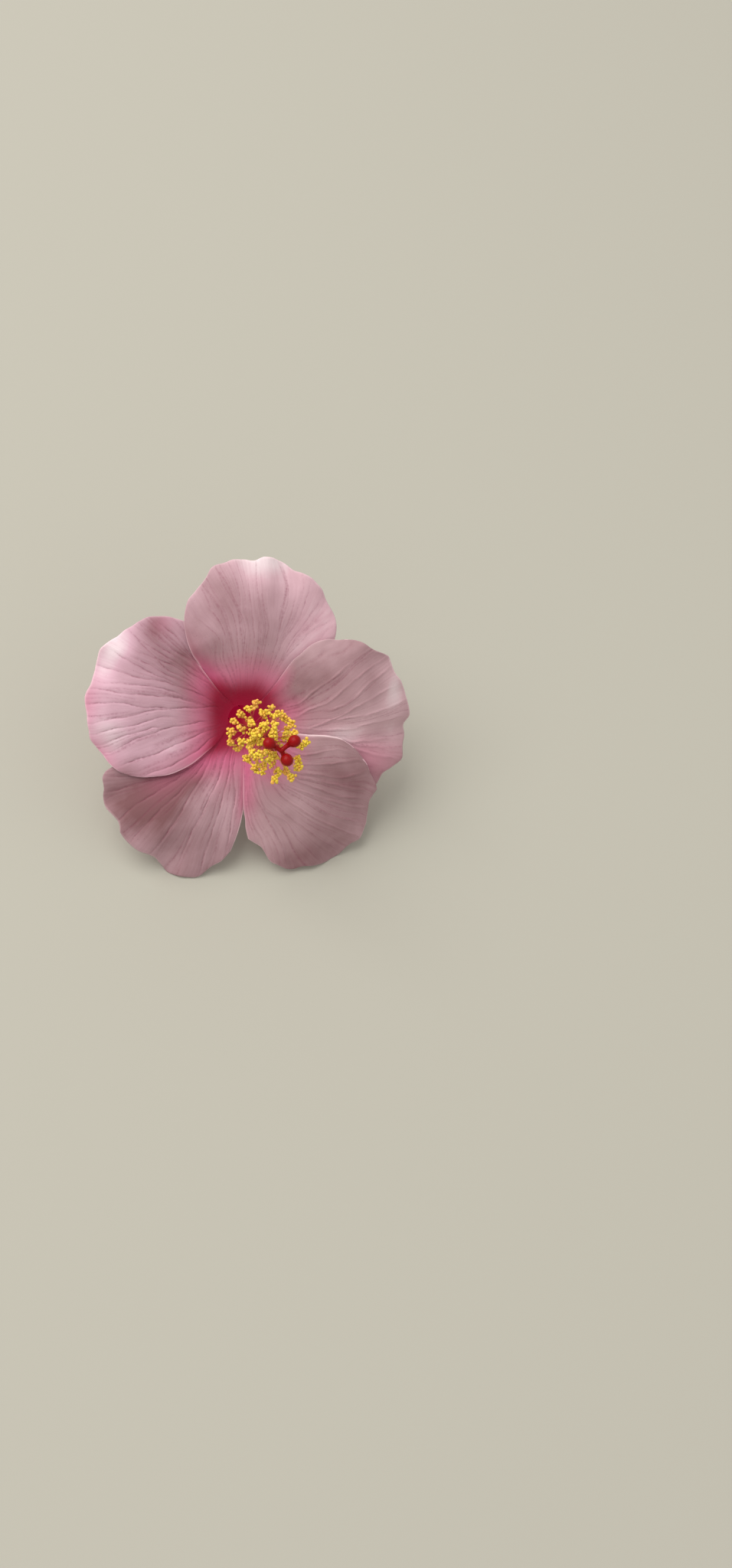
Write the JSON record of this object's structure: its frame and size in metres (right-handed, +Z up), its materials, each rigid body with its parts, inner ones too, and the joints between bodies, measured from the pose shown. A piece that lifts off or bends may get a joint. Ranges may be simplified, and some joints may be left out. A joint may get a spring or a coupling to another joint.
{
  "type": "hibiscus flower",
  "caption": "Single open hibiscus bloom with overlapping ruffled petals, a long staminal column and a short cut stalk, lying face up on a surface.",
  "frame": {"origin": "middle of the bounding box at the surface that the bloom lies on", "axes": "+Z up, +X towards the upper right petal, +Y away from the viewer towards the stalk; the bloom faces -Y and up"},
  "size_m": [0.123, 0.0898, 0.0794],
  "materials": {
    "petal": "soft matt petal tissue, mauve pink, deep crimson in the throat",
    "green": "matt green leaf tissue",
    "stigma": "velvety deep red",
    "anthers": "powdery yellow pollen"
  },
  "bodies": {
    "root": {"petal_top": "petal", "petal_upper_right": "petal", "petal_lower_right": "petal", "petal_lower_left": "petal", "petal_left": "petal", "calyx": "green", "stalk_with_bracts": "green", "pistil": "stigma", "staminal_column": "anthers"}
  },
  "joints": []
}
